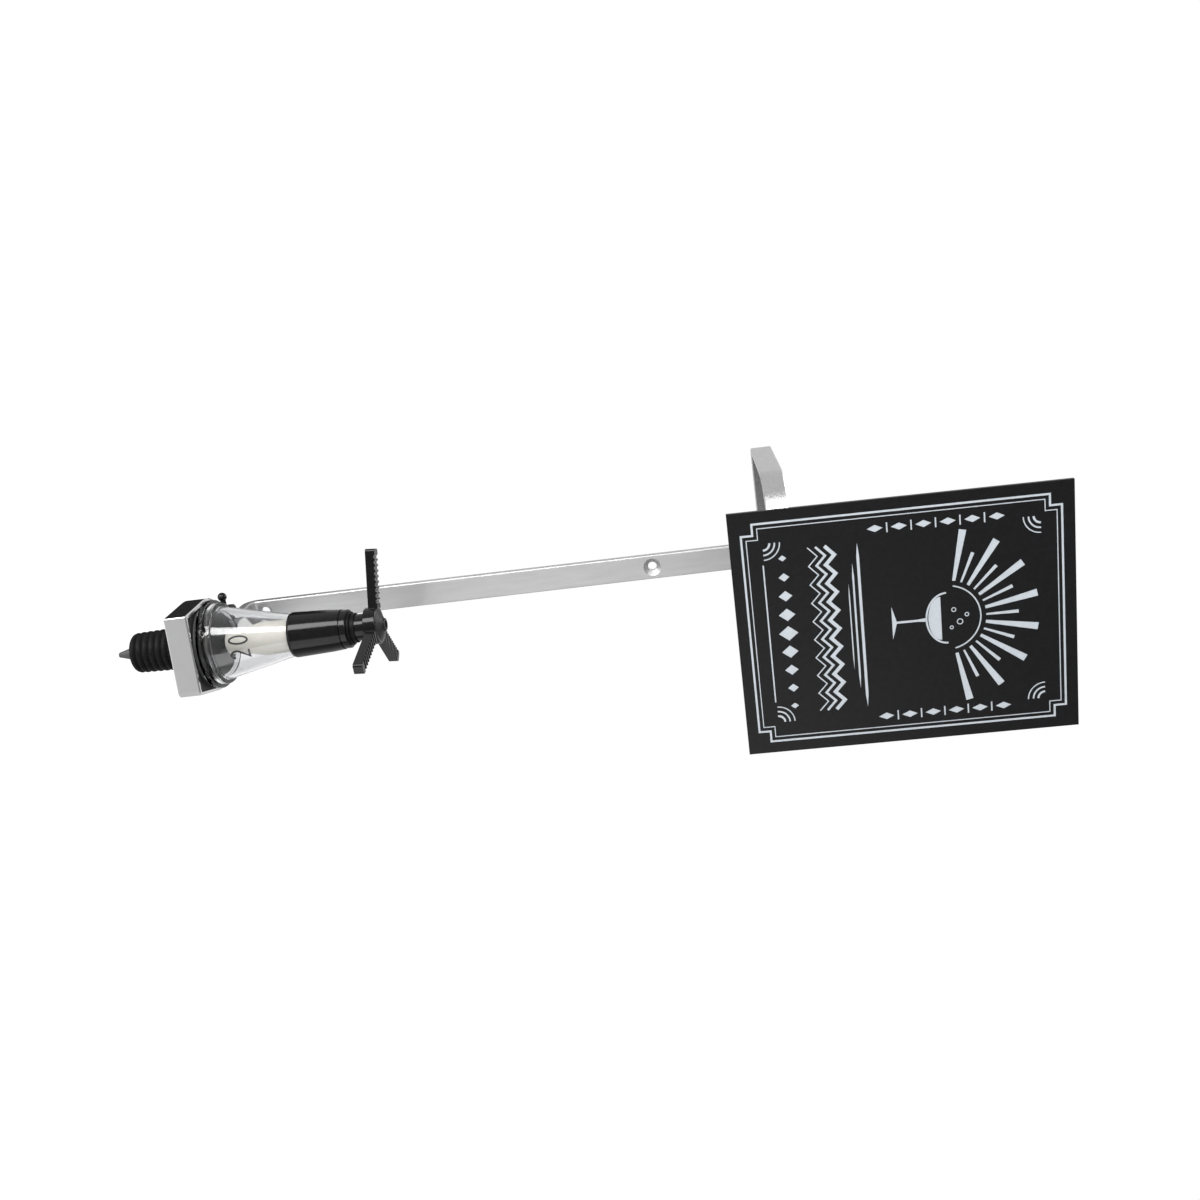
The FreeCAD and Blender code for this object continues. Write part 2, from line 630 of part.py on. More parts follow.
def make_inlet_tube():
    """Stiff tube through the stopper, with a pointed tip in the bottle and a valve seat above."""
    tip = NOSE_TIP_Z - INLET_TIP_LENGTH
    return turned([
        (INLET_TIP_HOLE_R, tip), (INLET_TIP_R, tip), (INLET_R, NOSE_TIP_Z), (INLET_R, INLET_SEAT_Z),
        (INLET_BORE_R, INLET_SEAT_Z), (INLET_BORE_R, NOSE_TIP_Z),
        (INLET_TIP_HOLE_R, tip + INLET_TIP_HOLE_DEPTH),
    ])


def make_chamber_gasket():
    """Flat rubber ring between the core and the chamber."""
    return ring(GASKET_OUT_R, GASKET_IN_R, CORE_TOP_Z, SEAT_Z)


def make_chamber():
    """Clear moulding: stepped flange, measuring cone and neck, open at both ends."""
    ledge_z = FLANGE_TOP_Z - SOCKET_LEDGE_DROP
    ledge_r = CONE_WIDE_R + CONE_SLOPE * SOCKET_LEDGE_DROP - CHAMBER_WALL
    cone_floor = TUBE_END_Z - CONE_FLOOR_THICK
    inner_narrow = ledge_r - CONE_SLOPE * (cone_floor - ledge_z)
    step_z = SEAT_Z + FLANGE_LOWER_H
    return turned([
        (SOCKET_R, SEAT_Z), (FLANGE_R, SEAT_Z), (FLANGE_R, step_z, FLANGE_LOWER_ROUND),
        (FLANGE_STEP_R, step_z), (FLANGE_STEP_R, FLANGE_TOP_Z, FLANGE_UPPER_ROUND),
        (CONE_WIDE_R, FLANGE_TOP_Z), (CONE_NARROW_R, CONE_END_Z),
        (NECK_R, CONE_END_Z), (NECK_R, NECK_END_Z), (TUBE_BORE_R, NECK_END_Z), (TUBE_BORE_R, TUBE_END_Z),
        (TUBE_R, TUBE_END_Z), (TUBE_R, cone_floor), (inner_narrow, cone_floor), (ledge_r, ledge_z),
        (SOCKET_R, ledge_z),
    ])


def make_inlet_stem():
    """Stem on a broad foot that guides the spindle and lets liquid out through cross ports."""
    stem = turned([
        (STEM_BORE_R, INLET_SEAT_Z), (STEM_R, INLET_SEAT_Z), (STEM_R, CORE_TOP_Z),
        (STEM_FOOT_R, CORE_TOP_Z), (STEM_FOOT_R, STEM_FOOT_Z), (STEM_R, STEM_FOOT_Z),
        (STEM_R, STEM_END_Z), (STEM_BORE_R, STEM_END_Z),
    ])
    port_z = STEM_FOOT_Z + 2 * STEM_PORT_R
    centre = V(0, -AXIS_FROM_WALL, port_z)
    for direction in (V(1, 0, 0), V(0, 1, 0)):
        start = centre - direction * (2 * STEM_R)
        stem = stem.cut(rod(STEM_PORT_R, start, direction, 4 * STEM_R))
    return stem


def make_measure_tube():
    """Cream inner tube from the stem down to the neck, with windows above the neck."""
    cap_z = STEM_END_Z - TUBE_CAP
    tube = turned([
        (STEM_R, cap_z), (TUBE_R, cap_z, TUBE_ROUND), (TUBE_R, TUBE_END_Z), (TUBE_BORE_R, TUBE_END_Z),
        (TUBE_BORE_R, STEM_END_Z), (STEM_R, STEM_END_Z),
    ])
    window_z = CONE_END_Z - TUBE_WINDOW_ABOVE_NECK - TUBE_WINDOW_HEIGHT
    for sides in ((4 * TUBE_R, TUBE_WINDOW_WIDTH), (TUBE_WINDOW_WIDTH, 4 * TUBE_R)):
        corner = V(-sides[0] / 2, -AXIS_FROM_WALL - sides[1] / 2, window_z)
        tube = tube.cut(Part.makeBox(sides[0], sides[1], TUBE_WINDOW_HEIGHT, corner))
    return tube


def make_air_vane():
    """Small pointed vane that stands on the inner tube."""
    foot = STEM_END_Z - TUBE_CAP + VANE_FOOT_FROM_CAP
    end = foot + VANE_LENGTH
    peak = foot + VANE_LENGTH * VANE_PEAK_SHARE
    shoulder = foot + VANE_LENGTH * VANE_SHOULDER_SHARE
    corners = [
        (0, foot, 0), (-TUBE_R, foot, 0), (-VANE_SHOULDER_R, shoulder, VANE_SHOULDER_ROUND),
        (-VANE_PEAK_R, peak, VANE_PEAK_ROUND), (-TUBE_R, end, 0), (0, end, 0),
    ]
    wire = rounded_wire(corners, lambda x, z: V(x, -AXIS_FROM_WALL - VANE_THICK / 2, z))
    vane = Part.Face(wire).extrude(V(0, VANE_THICK, 0))
    return vane.cut(ring(TUBE_R, 0, foot - CUT_PAST, end + CUT_PAST))


def make_valve_body():
    """Black gloss body around the neck, with the outlet seat and the spring's cavity."""
    cone_r = CONE_NARROW_R + CONE_SLOPE * BODY_LAP
    return turned([
        (cone_r, BODY_Z), (cone_r + BODY_LIP, BODY_Z),
        (BODY_WIDE_R, BODY_Z + BODY_BEAD_DROP, BODY_BEAD_ROUND),
        (BODY_SHOULDER_R, BODY_END_Z - BODY_SHOULDER_DROP, BODY_SHOULDER_ROUND), (BODY_NARROW_R, BODY_END_Z),
        (CAVITY_R, BODY_END_Z), (CAVITY_R, SPRING_Z), (OUTLET_BORE_R, SPRING_Z),
        (OUTLET_BORE_R, OUTLET_SEAT_Z), (TUBE_BORE_R, OUTLET_SEAT_Z), (TUBE_BORE_R, NECK_END_Z),
        (NECK_R, NECK_END_Z), (NECK_R, CONE_END_Z), (CONE_NARROW_R, CONE_END_Z),
    ])


def make_end_cap():
    """Grooved cap that closes the body and guides the sleeve."""
    bore = SLEEVE_R + RUNNING_GAP
    groove_z = BODY_END_Z + CAP_GROOVE
    return turned([
        (bore, BODY_END_Z), (CAP_R - CAP_GROOVE, BODY_END_Z), (CAP_R - CAP_GROOVE, groove_z),
        (CAP_R, groove_z), (CAP_R, CAP_END_Z, CAP_ROUND), (bore, CAP_END_Z),
    ])


def make_mouth_seal():
    """Rubber seal with a wiper lip around the sleeve."""
    return turned([
        (WIPER_BORE_R, CAP_END_Z), (SEAL_R, CAP_END_Z), (SEAL_R, SEAL_END_Z, SEAL_ROUND),
        (WIPER_R, SEAL_END_Z), (WIPER_R, WIPER_END_Z), (WIPER_BORE_R, WIPER_END_Z),
    ])


def make_spindle():
    """Steel spindle from the inlet seal to the sleeve, with a collar behind the outlet seal."""
    start = SPINDLE_TIP_Z + INLET_SEAL_H
    seal_z = OUTLET_SEAT_Z - OUTLET_SEAL_H
    end = SLEEVE_Z + SLEEVE_WALL_H + NUT_HEIGHT
    return turned([
        (0, start), (SPINDLE_R, start), (SPINDLE_R, seal_z - SPINDLE_COLLAR_H),
        (SPINDLE_COLLAR_R, seal_z - SPINDLE_COLLAR_H), (SPINDLE_COLLAR_R, seal_z), (SPINDLE_R, seal_z),
        (SPINDLE_R, end, SPINDLE_ROUND), (0, end),
    ])


def make_inlet_seal():
    """Rubber tip that shuts the inlet when the lever is pushed."""
    return turned([
        (0, SPINDLE_TIP_Z), (INLET_SEAL_R, SPINDLE_TIP_Z, SEAL_ROUND),
        (INLET_SEAL_R, SPINDLE_TIP_Z + INLET_SEAL_H), (0, SPINDLE_TIP_Z + INLET_SEAL_H),
    ])


def make_outlet_seal():
    """Rubber disc that rests on the outlet seat."""
    low = OUTLET_SEAT_Z - OUTLET_SEAL_H
    return turned([
        (SPINDLE_R, low), (OUTLET_SEAL_R, low, SEAL_ROUND), (OUTLET_SEAL_R, OUTLET_SEAT_Z),
        (SPINDLE_R, OUTLET_SEAT_Z),
    ])


def make_sleeve():
    """Hollow plunger sleeve that carries the star lever and pushes on the spring."""
    step_z = HUB_FLOOR_Z - SEAT_GAP
    end = CLIP_END_Z
    wall_z = SLEEVE_Z + SLEEVE_WALL_H
    sleeve = turned([
        (SPINDLE_R, SLEEVE_Z), (SLEEVE_R, SLEEVE_Z), (SLEEVE_R, step_z), (SLEEVE_STEP_R, step_z),
        (SLEEVE_STEP_R, end), (SLEEVE_BORE_R, end), (SLEEVE_BORE_R, wall_z), (SPINDLE_R, wall_z),
    ])
    for i in range(FLOW_HOLE_COUNT):
        angle = 2 * math.pi * i / FLOW_HOLE_COUNT
        x, y = FLOW_HOLE_CIRCLE_R * math.cos(angle), FLOW_HOLE_CIRCLE_R * math.sin(angle)
        start = V(x, y - AXIS_FROM_WALL, SLEEVE_Z - CUT_PAST)
        sleeve = sleeve.cut(rod(FLOW_HOLE_R, start, V(0, 0, 1), SLEEVE_WALL_H + 2 * CUT_PAST))
    return sleeve


def make_spindle_nut():
    """Hexagon nut that holds the spindle in the sleeve."""
    low = SLEEVE_Z + SLEEVE_WALL_H
    corners = []
    for i in range(6):
        angle = math.pi * i / 3
        corners.append((NUT_R * math.cos(angle), NUT_R * math.sin(angle), 0))
    wire = rounded_wire(corners, lambda x, y: V(x, y - AXIS_FROM_WALL, low))
    hole = ring(SPINDLE_R, 0, low - CUT_PAST, low + NUT_HEIGHT + CUT_PAST)
    return Part.Face(wire).extrude(V(0, 0, NUT_HEIGHT)).cut(hole)


def make_return_spring():
    """Compression spring with closed end turns, swept along half-turn arcs."""
    half_turns = 2 * SPRING_TURNS
    closed = 2 * SPRING_CLOSED_TURNS
    closed_rise = SPRING_WIRE_R + SPRING_END_GAP / 2
    open_rise = (SPRING_LENGTH - 2 * SPRING_WIRE_R - 2 * closed * closed_rise) / (half_turns - 2 * closed)
    z = SPRING_Z + SPRING_WIRE_R
    arcs = []
    for i in range(half_turns):
        side = 1 if i % 2 == 0 else -1
        rise = closed_rise if i < closed or i >= half_turns - closed else open_rise
        bow = side * math.hypot(SPRING_MEAN_R, rise / 2)
        points = [V(side * SPRING_MEAN_R, 0, z), V(0, bow, z + rise / 2), V(-side * SPRING_MEAN_R, 0, z + rise)]
        arcs.append(Part.Arc(*points).toShape())
        z += rise
    start = V(SPRING_MEAN_R, 0, SPRING_Z + SPRING_WIRE_R)
    section = Part.Wire(Part.makeCircle(SPRING_WIRE_R, start, V(0, 1, 0)))
    return on_axis(Part.Wire(arcs).makePipeShell([section], True, False))


def make_star_arm():
    """One radial arm with a rounded tip and cross grooves on its outer face."""
    low = HUB_END_Z - STAR_ARM_THICK
    half, root = STAR_ARM_WIDTH / 2, SPOUT_R + STAR_ARM_ROOT
    corners = [
        (root, -half, 0), (STAR_ARM_R, -half, STAR_TIP_R), (STAR_ARM_R, half, STAR_TIP_R), (root, half, 0),
    ]
    arm = Part.Face(rounded_wire(corners, lambda x, y: V(x, y, low))).extrude(V(0, 0, STAR_ARM_THICK))
    groove_r = GRIP_PITCH / 2 * GRIP_SHARE
    centre_z = HUB_END_Z + groove_r - GRIP_DEPTH
    count = int((STAR_ARM_R - GRIP_START_R) / GRIP_PITCH)
    for i in range(count):
        start = V(GRIP_START_R + i * GRIP_PITCH, -STAR_ARM_WIDTH, centre_z)
        arm = arm.cut(rod(groove_r, start, V(0, 1, 0), 2 * STAR_ARM_WIDTH))
    return arm


def make_star_lever():
    """Hub with three arms, free to turn on the sleeve; the arms stand a little out of square."""
    bore = SLEEVE_STEP_R + RUNNING_GAP
    star = turned([
        (bore, HUB_FLOOR_Z), (HUB_REAR_R, HUB_FLOOR_Z), (HUB_REAR_R, HUB_Z), (HUB_R, HUB_Z, HUB_REAR_ROUND),
        (HUB_R, HUB_END_Z, HUB_FRONT_ROUND), (SPOUT_R, HUB_END_Z), (SPOUT_R, HUB_FACE_Z), (bore, HUB_FACE_Z),
    ])
    first = 180 - STAR_TURN
    tilt_axis = V(math.sin(math.radians(first)), -math.cos(math.radians(first)), 0)
    for i in range(ARM_COUNT):
        arm = make_star_arm()
        arm.rotate(V(0, 0, 0), V(0, 0, 1), first + i * 360 / ARM_COUNT)
        arm.rotate(V(0, 0, HUB_END_Z), tilt_axis, STAR_LEAN)
        root = ring(SPOUT_R + STAR_ARM_ROOT, 0, HUB_Z - CUT_PAST, HUB_END_Z + CUT_PAST)
        star = star.fuse(on_axis(arm).cut(root))
    return star.removeSplitter()


def make_sleeve_clip():
    """Ring on the sleeve's end that keeps the star lever on."""
    return ring(CLIP_R, SLEEVE_STEP_R, CLIP_Z, CLIP_END_Z)


def make_spout_ring():
    """Cone in the hub's mouth with the outlet hole at its tip."""
    low = CLIP_END_Z + SEAT_GAP
    shoulder = HUB_END_Z + SPOUT_RISE - SPOUT_TIP_HEIGHT
    return turned([
        (SPOUT_R - SPOUT_WALL, low), (SPOUT_R, low), (SPOUT_R, HUB_END_Z), (SPOUT_TIP_R, shoulder),
        (SPOUT_TIP_R, HUB_END_Z + SPOUT_RISE, SPOUT_ROUND), (SPOUT_HOLE_R, HUB_END_Z + SPOUT_RISE),
        (SPOUT_HOLE_R, shoulder - SPOUT_WALL),
    ])


PARTS = {
    "back_bar": make_back_bar,
    "bottle_hoop": make_bottle_hoop,
    "hoop_rivets": make_rivets,
    "sign_plate": make_sign_plate,
    "sign_pads": make_sign_pads,
    "collar_shell": make_collar_shell,
    "collar_core": make_collar_core,
    "clamp_block": make_clamp_block,
    "arm_screws": lambda: Part.makeCompound(make_arm_screw_solids()),
    "collar_screws": make_collar_screws,
    "ball_peg": make_ball_peg,
    "ribbed_stopper": make_stopper,
    "inlet_tube": make_inlet_tube,
    "chamber_gasket": make_chamber_gasket,
    "measuring_chamber": make_chamber,
    "inlet_stem": make_inlet_stem,
    "measure_tube": make_measure_tube,
    "air_vane": make_air_vane,
    "valve_body": make_valve_body,
    "end_cap": make_end_cap,
    "mouth_seal": make_mouth_seal,
    "spindle": make_spindle,
    "inlet_seal": make_inlet_seal,
    "outlet_seal": make_outlet_seal,
    "plunger_sleeve": make_sleeve,
    "spindle_nut": make_spindle_nut,
    "return_spring": make_return_spring,
    "star_lever": make_star_lever,
    "sleeve_clip": make_sleeve_clip,
    "spout_ring": make_spout_ring,
}

os.makedirs("parts", exist_ok=True)
for name, make in PARTS.items():
    make().exportStep(f"parts/{name}.step")
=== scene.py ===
"""Look of the wall-hung spirit measure: materials, print, meshes for three pieces, studio and camera."""
import json
import math

import bmesh
import bpy
from mathutils import Matrix, Vector


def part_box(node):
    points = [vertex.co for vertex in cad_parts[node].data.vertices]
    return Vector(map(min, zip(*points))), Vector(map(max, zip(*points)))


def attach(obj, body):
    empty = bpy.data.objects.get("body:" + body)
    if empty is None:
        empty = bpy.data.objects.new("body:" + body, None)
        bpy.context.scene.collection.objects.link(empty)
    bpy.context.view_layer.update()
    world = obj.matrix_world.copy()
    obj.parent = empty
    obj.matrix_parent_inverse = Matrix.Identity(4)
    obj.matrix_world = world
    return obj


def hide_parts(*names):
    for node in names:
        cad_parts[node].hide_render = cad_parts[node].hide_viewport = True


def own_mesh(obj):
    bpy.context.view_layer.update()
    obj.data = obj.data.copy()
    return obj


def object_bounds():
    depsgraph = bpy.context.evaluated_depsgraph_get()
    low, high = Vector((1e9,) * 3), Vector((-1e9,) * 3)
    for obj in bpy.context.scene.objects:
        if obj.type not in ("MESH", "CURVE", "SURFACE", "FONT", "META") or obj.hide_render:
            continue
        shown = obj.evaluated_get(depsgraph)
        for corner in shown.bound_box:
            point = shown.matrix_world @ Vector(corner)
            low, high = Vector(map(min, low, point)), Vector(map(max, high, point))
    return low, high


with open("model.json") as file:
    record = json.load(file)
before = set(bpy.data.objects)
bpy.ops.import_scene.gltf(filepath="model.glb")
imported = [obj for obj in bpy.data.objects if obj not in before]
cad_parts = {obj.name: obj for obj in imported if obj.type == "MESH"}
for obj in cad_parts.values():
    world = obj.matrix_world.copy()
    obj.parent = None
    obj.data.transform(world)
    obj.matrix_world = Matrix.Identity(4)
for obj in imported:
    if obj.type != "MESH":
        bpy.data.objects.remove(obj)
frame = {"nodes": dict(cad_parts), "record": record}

MM = 0.001
CAD_BOX = [list(corner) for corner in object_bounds()]

# Camera, found from the photograph's edges
CAMERA_AT = (-170.7, -653.8, 142.5)
CAMERA_AIM = (18.0, -5.0, 111.6)
CAMERA_ROLL = 7.36
LENS = 36.0
SENSOR = 36.0
SHIFT_X = -0.0478
SHIFT_Y = -0.0019

# World: strengths, where 1 is white, and the stretch of its Y direction over which mirrors see it brighten
STUDIO_DIM = 0.24
STUDIO_BRIGHT = 0.78
STUDIO_FILL = 0.35
STUDIO_FADE_FROM = -0.5
STUDIO_FADE_TO = 0.2

# Floor: colour, glow, half side, and distance below the object
FLOOR_GREY = 0.8
FLOOR_GLOW = 0.72
FLOOR_GLOSS = 0.30
FLOOR_HALF = 3000
FLOOR_BELOW = 900

# Lamps, as name, place, width and height, and power in watts
LAMP_AIM = (0, -60, 60)
LAMPS = (
    ("key", (-900, -900, 500), (500, 500), 12),
    ("fill", (700, -1000, -100), (900, 900), 5),
    ("rim", (-200, 500, 900), (600, 600), 6),
    ("streak", (-709, -543, -350), (380, 900), 14),
)

# Dark card that the chrome mirrors, seen by nothing else
CARD_AT = (-85, 105, -206)
CARD_AIM = (-24, -70, -126)
CARD_HALF = 90
CARD_GREY = 0.005

# Range that the noise seldom leaves
NOISE_LOW = 0.3
NOISE_HIGH = 0.7

# Clear plastic: colour, greyed as painted shade for the darker surroundings seen through it, roughness from
# least to most, refraction, and its faint unevenness
CLEAR_SHADE_GREY = (0.735, 0.74, 0.75, 1)
CLEAR_ROUGH = (0.03, 0.07)
CLEAR_REFRACTION = 1.49
CLEAR_PER_MM = 0.15
CLEAR_DETAIL = 1.0
CLEAR_RELIEF = 0.01

# Other materials, with what surface() needs for each
LOOKS = {
    "satin_aluminium": {
        "dark": (0.46, 0.46, 0.46), "light": (0.50, 0.50, 0.505), "rough": (0.42, 0.50),
        "metal": 1.0, "stretch": (1, 1, 0.12), "grain": 3.0, "relief": 0.004},
    "hoop_aluminium": {
        "dark": (0.50, 0.50, 0.50), "light": (0.55, 0.55, 0.555), "rough": (0.26, 0.34),
        "metal": 1.0, "stretch": (0.2, 0.2, 1), "grain": 3.0, "relief": 0.004},
    "screw_steel": {
        "dark": (0.42, 0.42, 0.42), "light": (0.52, 0.52, 0.52), "rough": (0.22, 0.32), "metal": 1.0},
    "stainless": {
        "dark": (0.45, 0.45, 0.45), "light": (0.55, 0.55, 0.55), "rough": (0.18, 0.26), "metal": 1.0},
    "collar_chrome": {
        "dark": (0.72, 0.72, 0.72), "light": (0.75, 0.75, 0.76), "rough": (0.05, 0.09),
        "metal": 1.0, "wander": 0.1, "grain": 0.12, "relief": 0.02},
    "sign_black": {
        "dark": (0.005, 0.005, 0.005), "light": (0.007, 0.007, 0.008), "rough": (0.34, 0.40),
        "grain": 4.0, "relief": 0.003, "gloss": 0.16},
    "black_plastic": {
        "dark": (0.009, 0.009, 0.009), "light": (0.013, 0.013, 0.013), "rough": (0.38, 0.48),
        "grain": 5.0, "relief": 0.01, "gloss": 0.2},
    "black_gloss": {
        "dark": (0.004, 0.004, 0.004), "light": (0.006, 0.006, 0.006), "rough": (0.10, 0.16),
        "grain": 0.6, "relief": 0.004, "gloss": 0.22},
    "black_rubber": {
        "dark": (0.004, 0.004, 0.004), "light": (0.007, 0.007, 0.007), "rough": (0.40, 0.55),
        "grain": 4.0, "relief": 0.02, "gloss": 0.07},
    "mark_black": {
        "dark": (0.010, 0.010, 0.010), "light": (0.014, 0.014, 0.014), "rough": (0.40, 0.50),
        "grain": 4.0},
    "grey_plastic": {
        "dark": (0.030, 0.030, 0.030), "light": (0.042, 0.042, 0.042), "rough": (0.35, 0.45),
        "grain": 4.0, "relief": 0.01},
    "gasket_grey": {
        "dark": (0.080, 0.080, 0.080), "light": (0.100, 0.100, 0.100), "rough": (0.40, 0.55),
        "grain": 4.0, "relief": 0.01},
    "print_silver": {
        "dark": (0.36, 0.39, 0.42), "light": (0.40, 0.43, 0.46), "rough": (0.42, 0.50),
        "grain": 4.0, "relief": 0.003},
    "pad_white": {
        "dark": (0.6, 0.6, 0.6), "light": (0.7, 0.7, 0.7), "rough": (0.7, 0.8),
        "grain": 3.0, "relief": 0.05},
    "cream_plastic": {
        "dark": (0.74, 0.71, 0.62), "light": (0.80, 0.77, 0.69), "rough": (0.30, 0.40),
        "relief": 0.004},
    "white_plastic": {
        "dark": (0.80, 0.80, 0.78), "light": (0.86, 0.86, 0.84), "rough": (0.30, 0.40),
        "relief": 0.004},
}

# Smoothness of turned meshes: steps round, and the least angle in degrees that stays a sharp edge
ROUND_STEPS = 96
SHARP_ANGLE = 40

# Sign: how it hangs, its size, and the print's sink into and rise from its face
SIGN_LEAN = 1.2
SIGN_TURN = 0.55
SIGN_WIDTH = 112.5
SIGN_HEIGHT = 148.0
SIGN_THICK = 2.0
PRINT_SINK = 0.02
PRINT_RISE = 0.05

# Print in general: its places are measured from the middle of the sign
THIN_LINE = 0.6
DIAMOND_BLUNT = 0.05

# Printed frames as inset and width, and the corner fans' arcs as radius and width
FRAMES = ((5.5, 0.9), (7.6, 0.4))
FRAME_STEP = 5.0
FAN_INSET = 14.5
FAN_ARCS = ((3.0, 0.9), (5.2, 0.7), (7.4, 0.5))
FAN_STEPS = 12

# Printed rays: angles in degrees about the glass's rim, and long and short ones as reach and half angle
RAYS = 15
RAYS_FROM = 12
RAYS_TO = 168
RAYS_NEAR_R = 17.0
LONG_RAY = (40.0, 2.3)
SHORT_RAY = (31.0, 1.4)
RAYS_RING_R = 14.6
RAYS_RING_STEPS = 40

# Printed glass: half widths at the rim and foot, its stem, and its drink as shares of the bowl
GLASS_RIM_UP = 18.0
GLASS_RIM_HALF = 11.5
GLASS_DEPTH = 9.0
GLASS_LINE = 0.8
GLASS_STEPS = 36
GLASS_STEM = 15.0
GLASS_STEM_TOP_HALF = 0.9
GLASS_STEM_HALF = 0.5
GLASS_STEM_TAPER = 4.0
GLASS_FOOT_HALF = 7.5
GLASS_FOOT_RISE = 2.0
DRINK_DOWN = 2.6
DRINK_WIDTH_SHARE = 0.86
DRINK_DEPTH_SHARE = 0.62

# Printed bubbles, as place about the rim's middle and radius, and how far round each one's points go
BUBBLES = ((-3.5, 3.0, 0.9), (2.2, 5.5, 1.2), (4.6, 1.8, 0.7), (-0.8, 8.6, 0.8))
BUBBLE_LINE = 0.4
BUBBLE_TURN = 322
BUBBLE_STEPS = 14

# Printed bars as height, half length and width, zigzags as height and width, and a row of diamonds
BARS = ((-19.0, 38.0, 1.2), (-21.6, 29.0, 0.8), (-23.8, 20.0, 0.5))
BAR_POINT = 6.0
ZIGZAGS = ((-33.0, 1.6), (-37.0, 1.0), (-40.4, 0.5))
ZIGZAG_HALF = 38.0
ZIGZAG_TEETH = 9
ZIGZAG_RISE = 4.0
ROW_UP = -51.5
ROW_EACH_SIDE = 4
ROW_PITCH = 8.6
ROW_DIAMOND_HALF = 3.4
ROW_DIAMOND_LOSS = 0.5
ROW_DIAMOND_TALL = 1.25
BASE_LINE_UP = -60
BASE_LINE_HALF = 32

# Printed columns of diamonds and bars
COLUMN_OUT = 43.5
COLUMN_FROM_UP = -11
COLUMN_PITCH = 10.4
COLUMN_DIAMONDS = 6
COLUMN_DIAMOND_HALVES = (1.6, 3.4)
COLUMN_BAR_HALF = 2.2

# Measure mark on the cone of the chamber: heights above the chamber's lowest point, turns in degrees
CONE_FOOT_UP = 6.4
CONE_FOOT_R = 19.4
CONE_SLOPE = 0.2273
MARK_UP = 19.3
MARK_HEIGHT = 9.6
MARK_WIDTH = 4.8
MARK_STROKE = 0.95
MARK_RISE = 0.06
MARK_TWO_TURN = 7.5
MARK_NOUGHT_TURN = -18.5

# Digits one unit wide and tall: the bow of the 2 by its middle, half height and angles, and the steps
TWO_BOW_UP = 0.22
TWO_BOW_HALF = 0.28
TWO_BOW_FROM = 165
TWO_BOW_TO = -38
TWO_BOW_STEPS = 18
NOUGHT_STEPS = 36

# Stopper: its ends' distances below the chamber's lowest point, and the sizes of its nose, ribs and base
STOPPER_TOP_DOWN = 10.2
STOPPER_FRONT_DOWN = 41.6
STOPPER_BORE_R = 3.1
STOPPER_NOSE_INSET = 0.3
STOPPER_EDGE = 1.5
STOPPER_EDGE_STEPS = 6
STOPPER_CREST_R = 10.6
STOPPER_TAPER = 0.1
STOPPER_RIBS = 7
STOPPER_RIB_RISE = 1.1
STOPPER_RIB_PITCH = 3.45
STOPPER_RIB_HALF_SHARE = 0.46
STOPPER_RIB_STEPS = 4
STOPPER_BASE_R = 11.4
STOPPER_BASE_H = 3.0

# Inner tube of the chamber: radii, and heights above the chamber's lowest point
TUBE_FROM_UP = 8.1
TUBE_TO_UP = 47.5
TUBE_R = 6.0
TUBE_WALL = 1.0
TUBE_CAP = 1.5
TUBE_EDGE = 0.5
TUBE_BELL_FROM_UP = 15.0
TUBE_BELL_WIDE_UP = 27.0
TUBE_BELL_TO_UP = 43.6
TUBE_BELL_R = 8.9
STEM_R = 3.1

# Return spring: wire radius, turns, rise of each closed end turn, and mesh steps along and sides round
SPRING_WIRE_R = 0.4
SPRING_TURNS = 7
SPRING_CLOSED_RISE = 1.3
SPRING_STEPS = 24
SPRING_SIDES = 10


def material(name):
    """New node material, with its nodes and its links."""
    made = bpy.data.materials.new(name)
    made.use_nodes = True
    return made, made.node_tree.nodes, made.node_tree.links


def shader_of(nodes):
    return nodes["Principled BSDF"]


def texture_place(nodes, links, stretch=(1, 1, 1)):
    """Object coordinates in millimetres, stretched along each axis."""
    place = nodes.new("ShaderNodeTexCoord")
    scale = nodes.new("ShaderNodeMapping")
    scale.inputs["Scale"].default_value = [s / MM for s in stretch]
    links.new(place.outputs["Object"], scale.inputs["Vector"])
    return scale.outputs["Vector"]


def noise(nodes, links, place, per_mm, detail=3.0):
    """Noise with so many features to the millimetre."""
    made = nodes.new("ShaderNodeTexNoise")
    made.inputs["Scale"].default_value = per_mm
    made.inputs["Detail"].default_value = detail
    links.new(place, made.inputs["Vector"])
    return made.outputs["Fac"]


def remap(nodes, links, value, low, high):
    """Spread the noise's usual range over a new one."""
    made = nodes.new("ShaderNodeMapRange")
    made.inputs["From Min"].default_value = NOISE_LOW
    made.inputs["From Max"].default_value = NOISE_HIGH
    made.inputs["To Min"].default_value = low
    made.inputs["To Max"].default_value = high
    links.new(value, made.inputs["Value"])
    return made.outputs["Result"]


def shade(nodes, links, value, dark, light):
    """Spread the noise's usual range between two colours."""
    made = nodes.new("ShaderNodeValToRGB")
    for element, position, colour in zip(made.color_ramp.elements, (NOISE_LOW, NOISE_HIGH), (dark, light)):
        element.position = position
        element.color = (*colour, 1)
    links.new(value, made.inputs["Fac"])
    return made.outputs["Color"]


def bump(nodes, links, value, depth):
    """Relief of a depth in millimetres."""
    made = nodes.new("ShaderNodeBump")
    made.inputs["Distance"].default_value = depth * MM
    made.inputs["Strength"].default_value = 1.0
    links.new(value, made.inputs["Height"])
    return made.outputs["Normal"]


